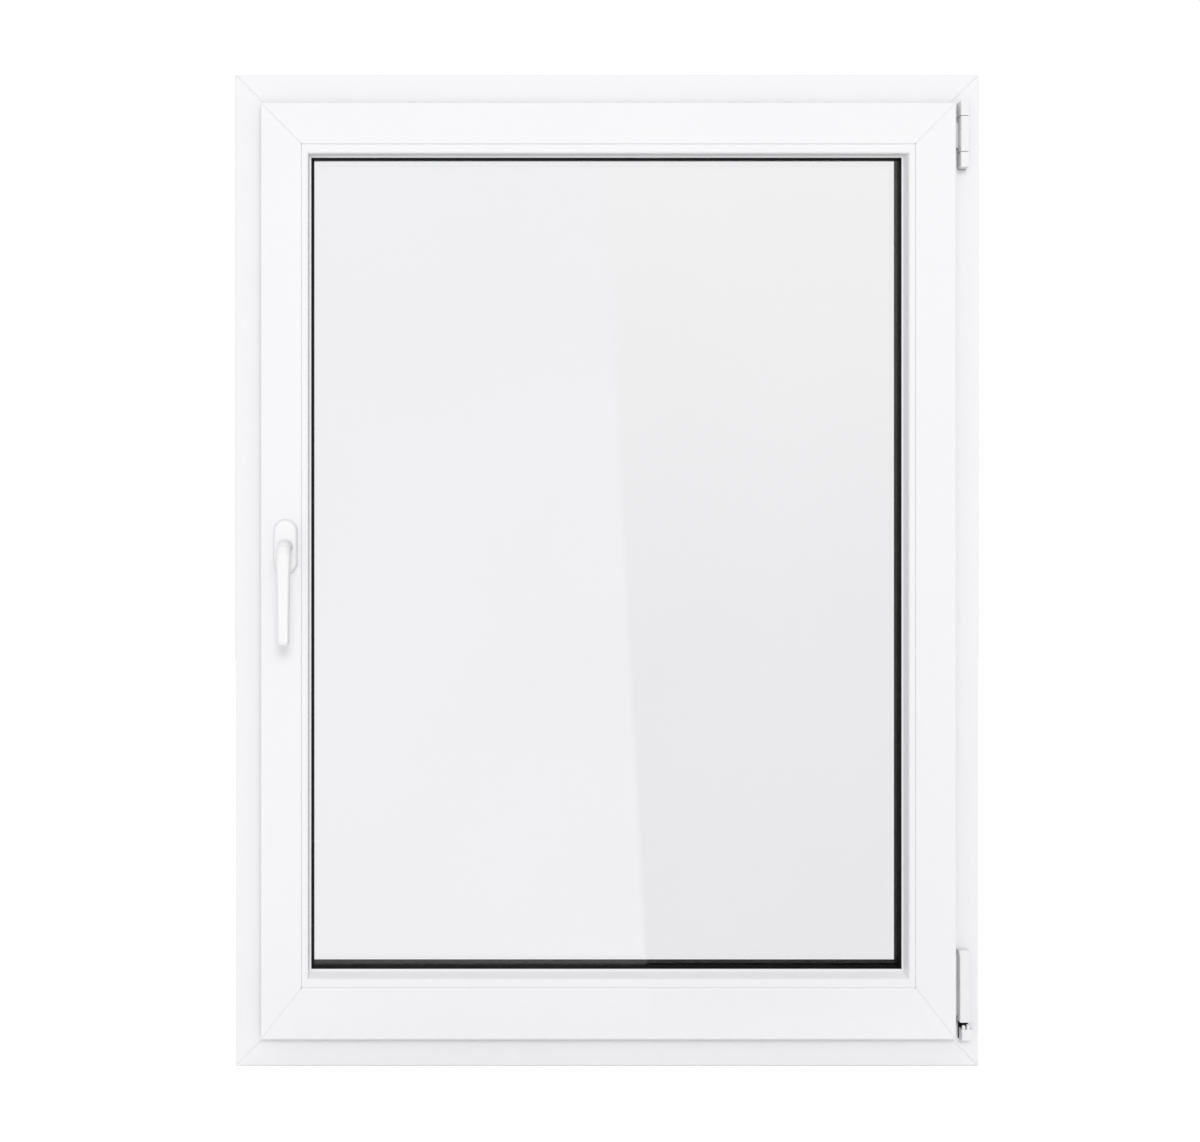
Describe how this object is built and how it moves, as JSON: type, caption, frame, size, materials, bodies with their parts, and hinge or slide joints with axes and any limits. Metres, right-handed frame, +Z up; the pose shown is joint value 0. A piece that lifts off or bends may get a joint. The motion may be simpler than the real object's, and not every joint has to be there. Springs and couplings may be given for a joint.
{
  "type": "tilt and turn window",
  "caption": "White single-sash tilt and turn window: mitred frame and sash, double glazing in black gaskets, lever handle on the left and covered hinges on the right.",
  "frame": {"origin": "middle of the outer frame's underside, on the sill face that beds on the wall opening", "axes": "+X to the right as seen from the room, +Y from the room to outdoors, +Z up"},
  "size_m": [0.9, 0.1477, 1.2],
  "materials": {
    "white_upvc": "satin white extrusion",
    "clear_glass": "clear float glass",
    "black_spacer": "matt black",
    "black_rubber": "soft black extrusion",
    "white_hinge_cover": "moulded white cover",
    "hinge_steel": "dark plated",
    "white_handle": "white powder coat"
  },
  "bodies": {
    "window": {"frame_sill": "white_upvc", "frame_head": "white_upvc", "frame_left_jamb": "white_upvc", "frame_right_jamb": "white_upvc", "sash_bottom_rail": "white_upvc", "sash_top_rail": "white_upvc", "sash_left_stile": "white_upvc", "sash_right_stile": "white_upvc", "bottom_bead": "white_upvc", "top_bead": "white_upvc", "left_bead": "white_upvc", "right_bead": "white_upvc", "left_drain_cap": "white_upvc", "right_drain_cap": "white_upvc", "inner_glass_pane": "clear_glass", "outer_glass_pane": "clear_glass", "glass_spacer_bar": "black_spacer", "inner_glazing_gasket": "black_rubber", "outer_glazing_gasket": "black_rubber", "inner_sash_seal": "black_rubber", "outer_frame_seal": "black_rubber", "upper_hinge_cap": "white_hinge_cover", "upper_hinge_sleeve": "white_hinge_cover", "upper_hinge_foot": "white_hinge_cover", "lower_hinge_bearing": "white_hinge_cover", "lower_hinge_sleeve": "white_hinge_cover", "upper_hinge_pin": "hinge_steel", "upper_hinge_plate": "hinge_steel", "lower_hinge_pivot": "hinge_steel", "lower_hinge_plate": "hinge_steel", "handle_rosette": "white_handle"},
    "handle": {"handle_lever": "white_handle"}
  },
  "joints": [
    {"name": "handle_turn", "type": "hinge", "parent": "window", "child": "handle", "pos_m": [-0.3873, -0.066, 0.629], "axis": [0, -1, 0], "range_deg": [0, 180]}
  ]
}
